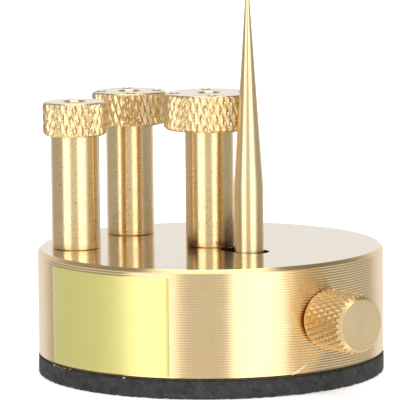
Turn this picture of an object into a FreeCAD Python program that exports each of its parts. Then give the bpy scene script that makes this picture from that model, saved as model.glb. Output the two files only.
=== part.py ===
import FreeCAD, Part
import math
import os
import Sketcher

# Bench stand for a wristwatch balance: a brass disc on a rubber pad, a post in its middle
# for the balance wheel, and a spike in a slot that a side screw moves.
# Frame: origin at the middle of the pad's underside, +Z up, +X along the slot to the knob.

doc = FreeCAD.newDocument("balance_holder")
sheet = doc.addObject("Spreadsheet::Sheet", "sizes")

SIZES = {
    # rubber pad and its glue
    "pad_overhang": 0.1,
    "pad_thickness": 2.6,
    "pad_edge": 0.15,
    "glue_inset": 0.2,
    "glue_thickness": 0.2,
    # brass base
    "base_radius": 25.0,
    "base_thickness": 15.35,
    "base_top_chamfer": 0.5,
    "base_bottom_chamfer": 0.2,
    "line_pitch": 0.365,
    "line_depth": 0.05,
    "line_width": 0.26,
    "line_margin": 0.475,
    "line_count": 40,
    # slot and the pocket under it
    "slot_inner_reach": 6.0,
    "slot_outer_reach": 9.55,
    "slot_width": 4.8,
    "roof_thickness": 2.5,
    "pocket_inner_gap": 0.1,
    "pocket_corner": 1.2,
    "running_gap": 0.05,
    "fixed_gap": 0.02,
    # spike and its carriage
    "spike_reach": 8.8,
    "spike_diameter": 4.2,
    "spike_straight": 9.25,
    "spike_taper": 29.0,
    "spike_tip_diameter": 0.36,
    "spike_tip_chamfer": 0.1,
    "spike_seat_depth": 3.0,
    "spike_foot_chamfer": 0.3,
    "carriage_length": 6.0,
    "carriage_width": 8.0,
    "carriage_corner": 0.4,
    # side screw
    "screw_height": 7.6,
    "screw_diameter": 3.0,
    "screw_groove_depth": 0.4,
    "journal_diameter": 2.0,
    "journal_length": 3.8,
    "bore_end_gap": 0.3,
    "screw_end_chamfer": 0.2,
    "bore_gap": 0.04,
    # clip and washer behind the wall
    "clip_thickness": 0.5,
    "clip_radial_width": 1.4,
    "clip_mouth": 2.0,
    "washer_thickness": 0.4,
    "washer_diameter": 5.6,
    "clip_to_carriage": 0.45,
    # thumb knob
    "knob_diameter": 8.5,
    "knob_length": 7.85,
    "knob_gap": 0.1,
    "knob_front_chamfer": 0.72,
    "knob_shoulder_depth": 0.45,
    "knob_shoulder_length": 0.3,
    "knob_socket_depth": 5.2,
    # keeper plate and its screws
    "plate_thickness": 2.0,
    "plate_ledge": 1.95,
    "plate_end": 7.2,
    "plate_corner": 2.5,
    "plate_screw_inset": 3.0,
    "plate_screw_edge": 2.2,
    "plate_screw_diameter": 2.0,
    "plate_screw_head": 3.6,
    "plate_screw_length": 5.0,
    "plate_screw_slot_width": 0.5,
    "plate_screw_slot_depth": 0.5,
    # centre pin
    "pin_diameter": 4.0,
    "pin_seat_depth": 5.0,
    "pin_stand": 8.0,
    "pin_chamfer": 0.4,
    "pin_bore_extra": 0.4,
    # posts
    "post_shank_diameter": 7.0,
    "post_foot_chamfer": 0.35,
    "staff_bore_diameter": 3.0,
    "staff_bore_chamfer": 0.27,
    "head_chamfer": 0.35,
    "work_post_length": 22.15,
    "work_head_diameter": 13.1,
    "work_head_height": 5.2,
    "work_hole_circle": 10.0,
    "spare_post_length": 21.2,
    "drilled_head_diameter": 11.0,
    "drilled_head_height": 4.8,
    "drilled_hole_circle": 8.2,
    "plain_head_diameter": 9.2,
    "plain_head_height": 4.8,
    "small_hole_diameter": 1.15,
    "small_hole_rim": 1.7,
    "small_hole_depth": 3.5,
    "small_hole_count": 4,
    "small_hole_angle": -34.0,
    # where the spare posts stand on the base, in from its rim
    "drilled_post_inset": 7.3,
    "drilled_post_angle": 182.6,
    "plain_post_inset": 5.6,
    "plain_post_angle": 235.5,
    # foil label
    "label_gap": 0.02,
    "label_thickness": 0.1,
    "label_height": 13.8,
    "label_lift": 0.35,
    "label_width": 21.6,
    "label_middle_angle": -77.5,
}

for row, (alias, value) in enumerate(SIZES.items(), start=1):
    sheet.set(f"A{row}", alias)
    sheet.set(f"B{row}", str(value))
    sheet.setAlias(f"B{row}", alias)
doc.recompute()

# Heights and places worked out from the sizes
base_bottom = "(sizes.pad_thickness + sizes.glue_thickness)"
base_top = f"({base_bottom} + sizes.base_thickness)"
pad_radius = "(sizes.base_radius + sizes.pad_overhang)"
screw_axis = f"({base_bottom} + sizes.screw_height)"
screw_radius = "(sizes.screw_diameter / 2)"
journal_radius = "(sizes.journal_diameter / 2)"
slot_play = "((sizes.slot_width - sizes.spike_diameter) / 2)"
carriage_half = "(sizes.carriage_length / 2)"
pocket_inner = f"(sizes.slot_inner_reach - {slot_play} - {carriage_half} - sizes.pocket_inner_gap)"
clip_inner = f"(sizes.slot_outer_reach + {slot_play} + {carriage_half} + sizes.clip_to_carriage)"
washer_inner = f"({clip_inner} + sizes.clip_thickness + sizes.running_gap)"
wall_inner = f"({washer_inner} + sizes.washer_thickness + sizes.running_gap)"
pocket_half_width = "(sizes.carriage_width / 2 + sizes.running_gap)"
pocket_depth = "(sizes.base_thickness - sizes.roof_thickness)"
carriage_bottom = "(sizes.plate_thickness + sizes.running_gap)"
carriage_height = f"({pocket_depth} - {carriage_bottom} - sizes.running_gap)"
plate_half_width = f"({pocket_half_width} + sizes.plate_ledge)"
plate_inner = f"({pocket_inner} - sizes.plate_end)"
plate_outer = f"({wall_inner} + sizes.plate_end)"
plate_screw_y = f"({plate_half_width} - sizes.plate_screw_edge)"
plate_screw_inner = f"({plate_inner} + sizes.plate_screw_inset)"
plate_screw_outer = f"({plate_outer} - sizes.plate_screw_inset)"
knob_back = "(sizes.base_radius + sizes.knob_gap)"
pin_bore_depth = "(sizes.pin_stand + sizes.pin_bore_extra)"
label_arc = "(sizes.label_width / sizes.base_radius * 180 / pi)"

FULL_TURN = 360
QUARTER_TURN = 90


def number(expression):
    """The value of an expression now, for a sketch's first guess."""
    return float(sheet.evalExpression(expression))


def new_body(label):
    body = doc.addObject("PartDesign::Body", label)
    body.Label = label
    return body


def origin_item(body, role):
    return next(item for item in body.Origin.OriginFeatures if item.Role == role)


def new_sketch(body, name, plane, along_x=None, along_normal=None):
    """A sketch on one of the body's own planes, shifted in that plane's axes."""
    sketch = body.newObject("Sketcher::SketchObject", f"{body.Name}_{name}")
    sketch.AttachmentSupport = [(origin_item(body, plane), "")]
    sketch.MapMode = "FlatFace"
    shifts = {"Base.x": along_x, "Base.z": along_normal}
    for axis, expression in shifts.items():
        if expression is not None:
            sketch.setExpression(f"AttachmentOffset.{axis}", expression)
    doc.recompute()
    return sketch


def bind(sketch, kind, *parts, expression):
    """Adds a constraint and ties its value to the sheet."""
    index = sketch.addConstraint(Sketcher.Constraint(kind, *parts, number(expression)))
    sketch.setExpression(f"Constraints[{index}]", expression)


def place_point(sketch, geometry, point, x, y):
    bind(sketch, "DistanceX", -1, 1, geometry, point, expression=x)
    bind(sketch, "DistanceY", -1, 1, geometry, point, expression=y)


def outline(sketch, corners):
    """A closed outline of straight lines through corners given as pairs of expressions."""
    points = [FreeCAD.Vector(number(x), number(y), 0) for x, y in corners]
    count = len(points)
    first = len(sketch.Geometry)
    for index in range(count):
        sketch.addGeometry(Part.LineSegment(points[index], points[(index + 1) % count]))
    for index in range(count):
        following = first + (index + 1) % count
        sketch.addConstraint(Sketcher.Constraint("Coincident", first + index, 2, following, 1))
    for index, (x, y) in enumerate(corners):
        place_point(sketch, first + index, 1, x, y)


def circle(sketch, x, y, radius):
    centre = FreeCAD.Vector(number(x), number(y), 0)
    up = FreeCAD.Vector(0, 0, 1)
    index = sketch.addGeometry(Part.Circle(centre, up, number(radius)))
    place_point(sketch, index, 3, x, y)
    bind(sketch, "Radius", index, expression=radius)


def arc(sketch, x, y, radius, first_angle, last_angle):
    centre = FreeCAD.Vector(number(x), number(y), 0)
    full = Part.Circle(centre, FreeCAD.Vector(0, 0, 1), number(radius))
    piece = Part.ArcOfCircle(full, math.radians(first_angle), math.radians(last_angle))
    index = sketch.addGeometry(piece)
    place_point(sketch, index, 3, x, y)
    bind(sketch, "Radius", index, expression=radius)
    return index


def link_tangent(sketch, arcs):
    """Joins arcs, given anticlockwise, by straight lines that touch them."""
    ends = [sketch.Geometry[index].EndPoint for index in arcs]
    starts = [sketch.Geometry[index].StartPoint for index in arcs]
    for position, index in enumerate(arcs):
        following = (position + 1) % len(arcs)
        line = sketch.addGeometry(Part.LineSegment(ends[position], starts[following]))
        sketch.addConstraint(Sketcher.Constraint("Tangent", index, 2, line, 1))
        sketch.addConstraint(Sketcher.Constraint("Tangent", line, 2, arcs[following], 1))


def obround(sketch, x_first, x_last, radius):
    right = arc(sketch, x_last, "0", radius, -QUARTER_TURN, QUARTER_TURN)
    left = arc(sketch, x_first, "0", radius, QUARTER_TURN, FULL_TURN - QUARTER_TURN)
    link_tangent(sketch, [right, left])


def rounded_box(sketch, x_low, x_high, y_half, radius):
    right, left = f"{x_high} - ({radius})", f"{x_low} + {radius}"
    top, bottom = f"{y_half} - ({radius})", f"{radius} - ({y_half})"
    arcs = []
    for position, (x, y) in enumerate([(right, top), (left, top), (left, bottom), (right, bottom)]):
        start = position * QUARTER_TURN
        arcs.append(arc(sketch, x, y, radius, start, start + QUARTER_TURN))
    link_tangent(sketch, arcs)


def finish(body, feature):
    body.Tip = feature
    doc.recompute()
    return feature


def finish_cut(body, feature):
    """Finishes a feature and checks that it removes material."""
    before = body.Shape.Volume
    finish(body, feature)
    assert body.Shape.Volume < before, f"{feature.Name} cuts nothing"
    return feature


def revolve(body, name, sketch, axis):
    feature = body.newObject("PartDesign::Revolution", f"{body.Name}_{name}")
    feature.Profile = sketch
    feature.ReferenceAxis = (sketch, [axis])
    feature.Angle = FULL_TURN
    return finish(body, feature)


def groove(body, name, sketch, axis):
    feature = body.newObject("PartDesign::Groove", f"{body.Name}_{name}")
    feature.Profile = sketch
    feature.ReferenceAxis = (sketch, [axis])
    feature.Angle = FULL_TURN
    return finish_cut(body, feature)


def pad(body, name, sketch, length):
    feature = body.newObject("PartDesign::Pad", f"{body.Name}_{name}")
    feature.Profile = sketch
    feature.setExpression("Length", length)
    return finish(body, feature)


def pocket(body, name, sketch, length, upward=False):
    feature = body.newObject("PartDesign::Pocket", f"{body.Name}_{name}")
    feature.Profile = sketch
    feature.Reversed = upward
    feature.setExpression("Length", length)
    return finish_cut(body, feature)


def polar(body, feature, count):
    pattern = body.newObject("PartDesign::PolarPattern", f"{feature.Name}_round")
    pattern.Originals = [feature]
    pattern.Axis = (origin_item(body, "Z_Axis"), [""])
    pattern.Angle = FULL_TURN
    pattern.setExpression("Occurrences", count)
    return finish(body, pattern)


def along(body, feature, axis, length, count):
    pattern = body.newObject("PartDesign::LinearPattern", f"{feature.Name}_row")
    pattern.Originals = [feature]
    pattern.Direction = (origin_item(body, axis), [""])
    pattern.setExpression("Length", length)
    pattern.setExpression("Occurrences", count)
    return finish(body, pattern)


def place(piece, x="0", y="0", z="0"):
    for axis, expression in {"x": x, "y": y, "z": z}.items():
        piece.setExpression(f"Placement.Base.{axis}", expression)


# Rubber pad and the glue that holds it
def make_pad():
    body = new_body("rubber_pad")
    sketch = new_sketch(body, "section", "XZ_Plane")
    outline(sketch, [
        ("0", "0"),
        (f"{pad_radius} - sizes.pad_edge", "0"),
        (pad_radius, "sizes.pad_edge"),
        (pad_radius, "sizes.pad_thickness"),
        ("0", "sizes.pad_thickness"),
    ])
    revolve(body, "disc", sketch, "V_Axis")
    return body


def make_glue():
    body = new_body("pad_adhesive")
    sketch = new_sketch(body, "section", "XY_Plane")
    circle(sketch, "0", "0", "sizes.base_radius - sizes.glue_inset")
    pad(body, "film", sketch, "sizes.glue_thickness")
    place(body, z="sizes.pad_thickness")
    return body


# Brass base, its underside at its own zero
def make_base():
    body = new_body("base_body")
    section = new_sketch(body, "section", "XZ_Plane")
    outline(section, [
        ("0", "0"),
        ("sizes.base_radius - sizes.base_bottom_chamfer", "0"),
        ("sizes.base_radius", "sizes.base_bottom_chamfer"),
        ("sizes.base_radius", "sizes.base_thickness - sizes.base_top_chamfer"),
        ("sizes.base_radius - sizes.base_top_chamfer", "sizes.base_thickness"),
        ("0", "sizes.base_thickness"),
    ])
    revolve(body, "disc", section, "V_Axis")

    lines = new_sketch(body, "line_section", "XZ_Plane")
    outline(lines, [
        ("sizes.base_radius - sizes.line_depth", "sizes.line_margin"),
        ("sizes.base_radius + sizes.line_depth", "sizes.line_margin - sizes.line_width"),
        ("sizes.base_radius + sizes.line_depth", "sizes.line_margin + sizes.line_width"),
    ])
    first_line = groove(body, "line", lines, "V_Axis")
    run = "sizes.line_pitch * (sizes.line_count - 1)"
    along(body, first_line, "Z_Axis", run, "sizes.line_count")

    recess = new_sketch(body, "plate_outline", "XY_Plane")
    rounded_box(recess, plate_inner, plate_outer, plate_half_width, "sizes.plate_corner")
    pocket(body, "plate_recess", recess, "sizes.plate_thickness", upward=True)

    carriage_room = new_sketch(body, "carriage_outline", "XY_Plane")
    rounded_box(carriage_room, pocket_inner, wall_inner, pocket_half_width, "sizes.pocket_corner")
    pocket(body, "carriage_pocket", carriage_room, pocket_depth, upward=True)

    slot = new_sketch(body, "slot_outline", "XY_Plane", along_normal="sizes.base_thickness")
    obround(slot, "sizes.slot_inner_reach", "sizes.slot_outer_reach", "sizes.slot_width / 2")
    pocket(body, "spike_slot", slot, "sizes.roof_thickness + sizes.running_gap")

    pin_hole = new_sketch(body, "pin_outline", "XY_Plane", along_normal="sizes.base_thickness")
    circle(pin_hole, "0", "0", f"sizes.pin_diameter / 2 + sizes.bore_gap")
    pocket(body, "pin_hole", pin_hole, "sizes.pin_seat_depth + sizes.running_gap")

    shaft = new_sketch(body, "shaft_outline", "YZ_Plane", along_normal="sizes.base_radius")
    circle(shaft, "0", "sizes.screw_height", f"{screw_radius} + sizes.bore_gap")
    pocket(body, "shaft_bore", shaft, f"sizes.base_radius - {wall_inner} + sizes.running_gap")

    journal = new_sketch(body, "journal_outline", "YZ_Plane", along_normal=pocket_inner)
    circle(journal, "0", "sizes.screw_height", f"{journal_radius} + sizes.bore_gap")
    pocket(body, "journal_bore", journal, "sizes.journal_length + sizes.bore_end_gap")

    tapped = new_sketch(body, "tapped_outline", "XY_Plane", along_normal="sizes.plate_thickness")
    for name, x, y in plate_screw_places():
        circle(tapped, x, y, "sizes.plate_screw_diameter / 2 + sizes.fixed_gap")
    depth = "sizes.plate_screw_length - sizes.plate_thickness + sizes.bore_end_gap"
    pocket(body, "tapped_holes", tapped, depth, upward=True)
    place(body, z=base_bottom)
    return body


def plate_screw_places():
    """Name and place of each of the plate's four screws."""
    ends = {"inner": plate_screw_inner, "outer": plate_screw_outer}
    sides = {"left": plate_screw_y, "right": f"-{plate_screw_y}"}
    return [(f"{end}_{side}", x, y) for end, x in ends.items() for side, y in sides.items()]


# Plate that closes the pocket from below, flush with the base's underside
def make_plate():
    body = new_body("keeper_plate")
    sketch = new_sketch(body, "outline", "XY_Plane")
    gap = "sizes.running_gap"
    low, high = f"{plate_inner} + {gap}", f"{plate_outer} - {gap}"
    rounded_box(sketch, low, high, f"{plate_half_width} - {gap}", f"sizes.plate_corner - {gap}")
    pad(body, "plate", sketch, "sizes.plate_thickness")
    for name, x, y in plate_screw_places():
        seat = new_sketch(body, f"{name}_seat", "XZ_Plane", along_x=x, along_normal=f"-({y})")
        outline(seat, screw_seat_corners())
        groove(body, f"{name}_hole", seat, "V_Axis")
    place(body, z=base_bottom)
    return body


def screw_seat_corners():
    """Half section of a countersunk hole through the plate, head side down."""
    shank = "sizes.plate_screw_diameter / 2 + sizes.running_gap"
    head = "sizes.plate_screw_head / 2 + sizes.fixed_gap"
    return [
        ("0", "0"),
        (head, "0"),
        (shank, f"{head} - ({shank})"),
        (shank, "sizes.plate_thickness"),
        ("0", "sizes.plate_thickness"),
    ]


def make_plate_screws():
    body = new_body("keeper_screws")
    shank = "sizes.plate_screw_diameter / 2"
    head = "sizes.plate_screw_head / 2"
    for name, x, y in plate_screw_places():
        sketch = new_sketch(body, f"{name}_section", "XZ_Plane", along_x=x, along_normal=f"-({y})")
        outline(sketch, [
            ("0", "0"),
            (head, "0"),
            (shank, f"{head} - {shank}"),
            (shank, "sizes.plate_screw_length - sizes.screw_end_chamfer"),
            (f"{shank} - sizes.screw_end_chamfer", "sizes.plate_screw_length"),
            ("0", "sizes.plate_screw_length"),
        ])
        revolve(body, name, sketch, "V_Axis")
    half_slot = "sizes.plate_screw_slot_width / 2"
    slots = new_sketch(body, "driver_slots", "XY_Plane")
    for name, x, y in plate_screw_places():
        outline(slots, [
            (f"{x} - {head}", f"{y} - {half_slot}"),
            (f"{x} + {head}", f"{y} - {half_slot}"),
            (f"{x} + {head}", f"{y} + {half_slot}"),
            (f"{x} - {head}", f"{y} + {half_slot}"),
        ])
    pocket(body, "slots", slots, "sizes.plate_screw_slot_depth", upward=True)
    place(body, z=base_bottom)
    return body


# Block that slides in the pocket, carries the spike and is tapped for the screw
def make_carriage():
    body = new_body("spike_carriage")
    sketch = new_sketch(body, "outline", "XY_Plane")
    half_width = "sizes.carriage_width / 2"
    rounded_box(sketch, f"-{carriage_half}", carriage_half, half_width, "sizes.carriage_corner")
    pad(body, "block", sketch, carriage_height)
    seat = new_sketch(body, "spike_outline", "XY_Plane", along_normal=carriage_height)
    circle(seat, "0", "0", "sizes.spike_diameter / 2 + sizes.fixed_gap")
    pocket(body, "spike_seat", seat, "sizes.spike_seat_depth")
    thread = new_sketch(body, "thread_outline", "YZ_Plane", along_normal=carriage_half)
    circle(thread, "0", f"sizes.screw_height - {carriage_bottom}", f"{screw_radius} + sizes.bore_gap")
    pocket(body, "tapped_hole", thread, "sizes.carriage_length")
    place(body, x="sizes.spike_reach", z=f"{base_bottom} + {carriage_bottom}")
    return body


def make_spike():
    body = new_body("spike")
    radius = "sizes.spike_diameter / 2"
    tip = "sizes.spike_tip_diameter / 2"
    under = "(sizes.spike_seat_depth + sizes.running_gap + sizes.roof_thickness)"
    shoulder = f"{under} + sizes.spike_straight"
    top = f"{shoulder} + sizes.spike_taper"
    sketch = new_sketch(body, "section", "XZ_Plane")
    outline(sketch, [
        ("0", "0"),
        (f"{radius} - sizes.spike_foot_chamfer", "0"),
        (radius, "sizes.spike_foot_chamfer"),
        (radius, shoulder),
        (tip, f"{top} - sizes.spike_tip_chamfer"),
        (f"{tip} - sizes.spike_tip_chamfer", top),
        ("0", top),
    ])
    revolve(body, "turned", sketch, "V_Axis")
    place(body, x="sizes.spike_reach", z=f"{base_top} - {under}")
    return body


# Side screw: journal in the blind hole, threaded length, clip groove, shaft in the wall and knob
def make_screw():
    body = new_body("lead_screw")
    groove_low = f"{clip_inner} - sizes.fixed_gap"
    groove_high = f"{clip_inner} + sizes.clip_thickness + sizes.fixed_gap"
    groove_radius = f"{screw_radius} - sizes.screw_groove_depth"
    inner_end = f"{pocket_inner} - sizes.journal_length"
    outer_end = f"{knob_back} + sizes.knob_socket_depth - sizes.running_gap"
    chamfer = "sizes.screw_end_chamfer"
    shoulder = f"{pocket_inner} + sizes.running_gap"
    sketch = new_sketch(body, "section", "XZ_Plane")
    outline(sketch, [
        (inner_end, "0"),
        (inner_end, f"{journal_radius} - {chamfer}"),
        (f"{inner_end} + {chamfer}", journal_radius),
        (shoulder, journal_radius),
        (shoulder, f"{screw_radius} - {chamfer}"),
        (f"{shoulder} + {chamfer}", screw_radius),
        (groove_low, screw_radius),
        (groove_low, groove_radius),
        (groove_high, groove_radius),
        (groove_high, screw_radius),
        (f"{outer_end} - {chamfer}", screw_radius),
        (outer_end, f"{screw_radius} - {chamfer}"),
        (outer_end, "0"),
    ])
    revolve(body, "turned", sketch, "H_Axis")
    place(body, z=screw_axis)
    return body


def make_clip():
    body = new_body("retaining_clip")
    inner = f"{screw_radius} - sizes.screw_groove_depth + sizes.fixed_gap"
    outer = f"{inner} + sizes.clip_radial_width"
    ring = new_sketch(body, "ring", "YZ_Plane")
    circle(ring, "0", "0", inner)
    circle(ring, "0", "0", outer)
    pad(body, "ring_pad", ring, "sizes.clip_thickness")
    mouth = new_sketch(body, "mouth", "YZ_Plane", along_normal="sizes.clip_thickness")
    half = "sizes.clip_mouth / 2"
    outline(mouth, [
        (f"-{half}", "0"),
        (half, "0"),
        (half, f"{outer} + sizes.running_gap"),
        (f"-{half}", f"{outer} + sizes.running_gap"),
    ])
    pocket(body, "mouth_cut", mouth, "sizes.clip_thickness")
    place(body, x=clip_inner, z=screw_axis)
    return body


def make_washer():
    body = new_body("thrust_washer")
    ring = new_sketch(body, "ring", "YZ_Plane")
    circle(ring, "0", "0", f"{screw_radius} + sizes.bore_gap")
    circle(ring, "0", "0", "sizes.washer_diameter / 2")
    pad(body, "ring_pad", ring, "sizes.washer_thickness")
    place(body, x=washer_inner, z=screw_axis)
    return body


def make_knob():
    body = new_body("thumb_knob")
    radius = "sizes.knob_diameter / 2"
    front = "sizes.knob_front_chamfer"
    shoulder = f"{radius} - sizes.knob_shoulder_depth"
    socket = f"{screw_radius} + sizes.fixed_gap"
    sketch = new_sketch(body, "section", "XZ_Plane")
    outline(sketch, [
        ("0", socket),
        ("0", shoulder),
        ("sizes.knob_shoulder_length", shoulder),
        ("sizes.knob_shoulder_length + sizes.knob_shoulder_depth", radius),
        (f"sizes.knob_length - {front}", radius),
        ("sizes.knob_length", f"{radius} - {front}"),
        ("sizes.knob_length", "0"),
        ("sizes.knob_socket_depth", "0"),
        ("sizes.knob_socket_depth", socket),
    ])
    revolve(body, "turned", sketch, "H_Axis")
    place(body, x=knob_back, z=screw_axis)
    return body


# Pin in the base's centre, on which a post is dropped
def make_pin():
    body = new_body("centre_pin")
    radius = "sizes.pin_diameter / 2"
    top = "sizes.pin_seat_depth + sizes.pin_stand"
    chamfer = "sizes.pin_chamfer"
    sketch = new_sketch(body, "section", "XZ_Plane")
    outline(sketch, [
        ("0", "0"),
        (f"{radius} - {chamfer}", "0"),
        (radius, chamfer),
        (radius, f"{top} - {chamfer}"),
        (f"{radius} - {chamfer}", top),
        ("0", top),
    ])
    revolve(body, "turned", sketch, "V_Axis")
    place(body, z=f"{base_top} - sizes.pin_seat_depth")
    return body


# One post: shank, wide head, socket for the pin below, bore for the balance staff above
def make_post(label, length, head_diameter, head_height, hole_circle=None):
    body = new_body(label)
    socket = f"(sizes.pin_diameter / 2 + sizes.bore_gap)"
    shank = "sizes.post_shank_diameter / 2"
    head = f"{head_diameter} / 2"
    bore = "sizes.staff_bore_diameter / 2"
    under_head = f"{length} - {head_height}"
    sketch = new_sketch(body, "section", "XZ_Plane")
    outline(sketch, [
        (socket, "0"),
        (f"{shank} - sizes.post_foot_chamfer", "0"),
        (shank, "sizes.post_foot_chamfer"),
        (shank, under_head),
        (f"{head} - sizes.head_chamfer", under_head),
        (head, f"{under_head} + sizes.head_chamfer"),
        (head, f"{length} - sizes.head_chamfer"),
        (f"{head} - sizes.head_chamfer", length),
        (f"{bore} + sizes.staff_bore_chamfer", length),
        (bore, f"{length} - sizes.staff_bore_chamfer"),
        (bore, f"{pin_bore_depth} + {socket} - {bore}"),
        (socket, pin_bore_depth),
    ])
    revolve(body, "turned", sketch, "V_Axis")
    if hole_circle is not None:
        add_small_holes(body, length, hole_circle)
    return body


def add_small_holes(body, length, hole_circle):
    """Four blind holes with a bevelled rim for the impulse pin."""
    hole = "sizes.small_hole_diameter / 2"
    rim = "sizes.small_hole_rim / 2"
    reach = f"{hole_circle} / 2"
    sketch = new_sketch(body, "hole_section", "XZ_Plane", along_x=reach)
    outline(sketch, [
        ("0", f"{length} - sizes.small_hole_depth - {hole}"),
        (hole, f"{length} - sizes.small_hole_depth"),
        (hole, f"{length} - ({rim} - {hole})"),
        (rim, length),
        (rim, f"{length} + sizes.running_gap"),
        ("0", f"{length} + sizes.running_gap"),
    ])
    small_hole = groove(body, "small_hole", sketch, "V_Axis")
    polar(body, small_hole, "sizes.small_hole_count")
    body.setExpression("Placement.Rotation.Angle", "sizes.small_hole_angle")


def stand_on_base(post, inset, angle):
    reach = f"(sizes.base_radius - {inset})"
    place(post, f"{reach} * cos({angle} * 1 deg)", f"{reach} * sin({angle} * 1 deg)", base_top)


def make_posts():
    work_post = make_post(
        "work_post", "sizes.work_post_length", "sizes.work_head_diameter",
        "sizes.work_head_height", "sizes.work_hole_circle",
    )
    place(work_post, z=base_top)
    drilled = make_post(
        "spare_post_drilled", "sizes.spare_post_length", "sizes.drilled_head_diameter",
        "sizes.drilled_head_height", "sizes.drilled_hole_circle",
    )
    stand_on_base(drilled, "sizes.drilled_post_inset", "sizes.drilled_post_angle")
    plain = make_post(
        "spare_post_plain", "sizes.spare_post_length", "sizes.plain_head_diameter",
        "sizes.plain_head_height",
    )
    stand_on_base(plain, "sizes.plain_post_inset", "sizes.plain_post_angle")
    return [work_post, drilled, plain]


# Foil label: a thin curved sheet on the side
def make_label():
    sheets = []
    for name, extra in {"outer": "sizes.label_thickness", "inner": "0"}.items():
        sector = doc.addObject("Part::Cylinder", f"label_{name}")
        sector.setExpression("Radius", f"sizes.base_radius + sizes.label_gap + {extra}")
        sector.setExpression("Height", "sizes.label_height")
        sheets.append(sector)
    outer, inner = sheets
    outer.setExpression("Angle", label_arc)
    label = doc.addObject("Part::Cut", "name_plate")
    label.Label = "name_plate"
    label.Base = outer
    label.Tool = inner
    label.setExpression("Placement.Rotation.Angle", f"sizes.label_middle_angle - {label_arc} / 2")
    place(label, z=f"{base_bottom} + sizes.label_lift")
    return label


pieces = [
    make_pad(),
    make_glue(),
    make_base(),
    make_plate(),
    make_plate_screws(),
    make_carriage(),
    make_spike(),
    make_screw(),
    make_clip(),
    make_washer(),
    make_knob(),
    make_pin(),
    *make_posts(),
    make_label(),
]
doc.recompute()

for item in doc.Objects:
    failed = [word for word in item.State if word in ("Invalid", "Error")]
    assert not failed, f"{item.Name} is {failed}"
for piece in pieces:
    shape = piece.Shape
    assert not shape.isNull() and shape.isValid(), f"{piece.Label} has no valid shape"

os.makedirs("parts", exist_ok=True)
for piece in pieces:
    piece.Shape.exportStep(f"parts/{piece.Label}.step")
    box = piece.Shape.BoundBox
    print(f"{piece.Label:20s} solids {len(piece.Shape.Solids)} volume {piece.Shape.Volume:9.2f}"
          f"  x {box.XMin:7.2f} {box.XMax:7.2f}  y {box.YMin:7.2f} {box.YMax:7.2f}"
          f"  z {box.ZMin:6.2f} {box.ZMax:6.2f}")
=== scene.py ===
import math

import bpy
from mathutils import Matrix, Quaternion, Vector


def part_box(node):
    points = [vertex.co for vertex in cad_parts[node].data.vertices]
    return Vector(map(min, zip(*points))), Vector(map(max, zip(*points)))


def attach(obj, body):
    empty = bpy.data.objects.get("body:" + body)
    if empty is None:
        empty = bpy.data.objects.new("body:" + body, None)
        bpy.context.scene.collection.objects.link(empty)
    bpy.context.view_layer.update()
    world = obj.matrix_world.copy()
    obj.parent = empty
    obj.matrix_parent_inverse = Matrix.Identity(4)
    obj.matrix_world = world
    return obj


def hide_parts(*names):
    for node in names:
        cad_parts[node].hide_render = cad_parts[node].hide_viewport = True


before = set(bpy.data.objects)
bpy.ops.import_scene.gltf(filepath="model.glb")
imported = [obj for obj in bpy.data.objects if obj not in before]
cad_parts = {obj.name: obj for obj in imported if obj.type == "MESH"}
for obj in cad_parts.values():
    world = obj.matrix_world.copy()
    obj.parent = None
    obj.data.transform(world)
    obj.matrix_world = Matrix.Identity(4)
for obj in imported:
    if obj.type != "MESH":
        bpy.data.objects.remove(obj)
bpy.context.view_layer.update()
mm = 0.001
scene = bpy.context.scene
print("frame loaded")


# Camera, at the photo's angle in degrees, held half a degree crooked
view = {
    "azimuth": 51.0,
    "elevation": 7.45,
    "distance": 511 * mm,
    "roll": -0.55,
    "lens": 318.0,
    "near": 0.05,
    "far": 20,
    "sideways": -1.42 * mm,
    "height": 24.68 * mm,
}


def direction(azimuth, elevation):
    turned, raised = math.radians(azimuth), math.radians(elevation)
    level = math.cos(raised)
    return Vector((math.sin(turned) * level, -math.cos(turned) * level, math.sin(raised)))


def makeCamera():
    data = bpy.data.cameras.new("camera")
    data.lens = view["lens"]
    data.clip_start = view["near"]
    data.clip_end = view["far"]
    camera = bpy.data.objects.new("camera", data)
    scene.collection.objects.link(camera)
    back = direction(view["azimuth"], view["elevation"])
    right = direction(view["azimuth"] + 90, 0)
    target = right * view["sideways"] + Vector((0, 0, view["height"]))
    camera.location = target + back * view["distance"]
    level = back.to_track_quat("Z", "Y")
    camera.rotation_euler = (level @ Quaternion((0, 0, 1), math.radians(view["roll"]))).to_euler()
    scene.camera = camera


makeCamera()
scene.view_settings.view_transform = "Standard"
print("camera set")


# Small helpers for node trees
def feed(tree, socket, value):
    if isinstance(value, bpy.types.NodeSocket):
        tree.links.new(value, socket)
    else:
        socket.default_value = value


def add(tree, kind, inputs=None, **settings):
    node = tree.nodes.new(kind)
    for name, value in settings.items():
        setattr(node, name, value)
    for name, value in (inputs or {}).items():
        feed(tree, node.inputs[name], value)
    return node


def maths(tree, operation, *values):
    return add(tree, "ShaderNodeMath", dict(enumerate(values)), operation=operation).outputs[0]


def times(tree, first, *others):
    for other in others:
        first = maths(tree, "MULTIPLY", first, other)
    return first


def ramp(tree, value, low, high, toLow=0.0, toHigh=1.0, smooth=False):
    kind = "SMOOTHSTEP" if smooth else "LINEAR"
    inputs = {"Value": value, "From Min": low, "From Max": high, "To Min": toLow, "To Max": toHigh}
    return add(tree, "ShaderNodeMapRange", inputs, interpolation_type=kind).outputs[0]


def blendNumbers(tree, factor, first, second):
    return add(tree, "ShaderNodeMix", {0: factor, 2: first, 3: second}, data_type="FLOAT").outputs[0]


def blendColours(tree, factor, first, second):
    first, second = ((*colour, 1) if isinstance(colour, tuple) else colour for colour in (first, second))
    return add(tree, "ShaderNodeMix", {0: factor, 6: first, 7: second}, data_type="RGBA").outputs[2]


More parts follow.
